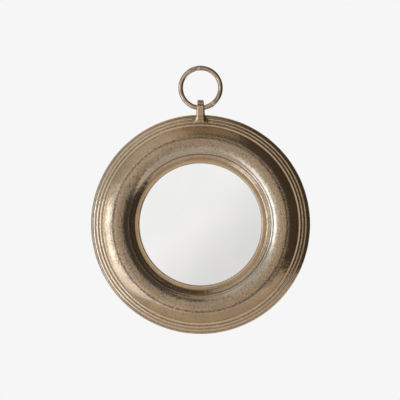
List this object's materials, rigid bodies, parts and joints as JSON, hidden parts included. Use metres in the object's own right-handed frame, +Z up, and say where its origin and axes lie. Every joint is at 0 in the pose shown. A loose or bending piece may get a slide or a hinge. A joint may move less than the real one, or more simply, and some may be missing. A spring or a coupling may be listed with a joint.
{
  "type": "convex wall mirror",
  "caption": "Round convex wall mirror in a moulded cast metal frame, hung from a swinging ring in a lug at the top.",
  "frame": {"origin": "centre of the disc in the plane of the wall, on the back board's outer face", "axes": "+Z up towards the hanging ring, -Y out of the wall towards the viewer, +X to the viewer's right"},
  "size_m": [0.3, 0.0281, 0.3673],
  "materials": {
    "cast_brass": "sand-cast, aged and lightly buffed on the high points",
    "ring_brass": "drawn bar, aged, rough where brazed",
    "silvered_glass": "clear domed glass silvered behind",
    "grey_felt": "dense felt",
    "spring_steel": "rolled strip",
    "zinc_steel": "zinc plated",
    "brown_board": "bare fibreboard"
  },
  "bodies": {
    "frame": {"frame_casting": "cast_brass", "mirror_glass": "silvered_glass", "glass_gasket": "grey_felt", "glass_clip_1": "spring_steel", "glass_clip_2": "spring_steel", "glass_clip_3": "spring_steel", "glass_clip_4": "spring_steel", "clip_screw_1": "zinc_steel", "clip_screw_2": "zinc_steel", "clip_screw_3": "zinc_steel", "clip_screw_4": "zinc_steel", "back_board": "brown_board", "board_screw_1": "zinc_steel", "board_screw_2": "zinc_steel", "board_screw_3": "zinc_steel", "board_screw_4": "zinc_steel", "board_screw_5": "zinc_steel", "board_screw_6": "zinc_steel", "board_screw_7": "zinc_steel", "board_screw_8": "zinc_steel"},
    "ring": {"hanging_ring": "ring_brass"}
  },
  "joints": [
    {"name": "ring_swing", "type": "hinge", "parent": "frame", "child": "ring", "pos_m": [0, -0.0136, 0.1595], "axis": [1, 0, 0], "range_deg": [-115, 155]}
  ]
}
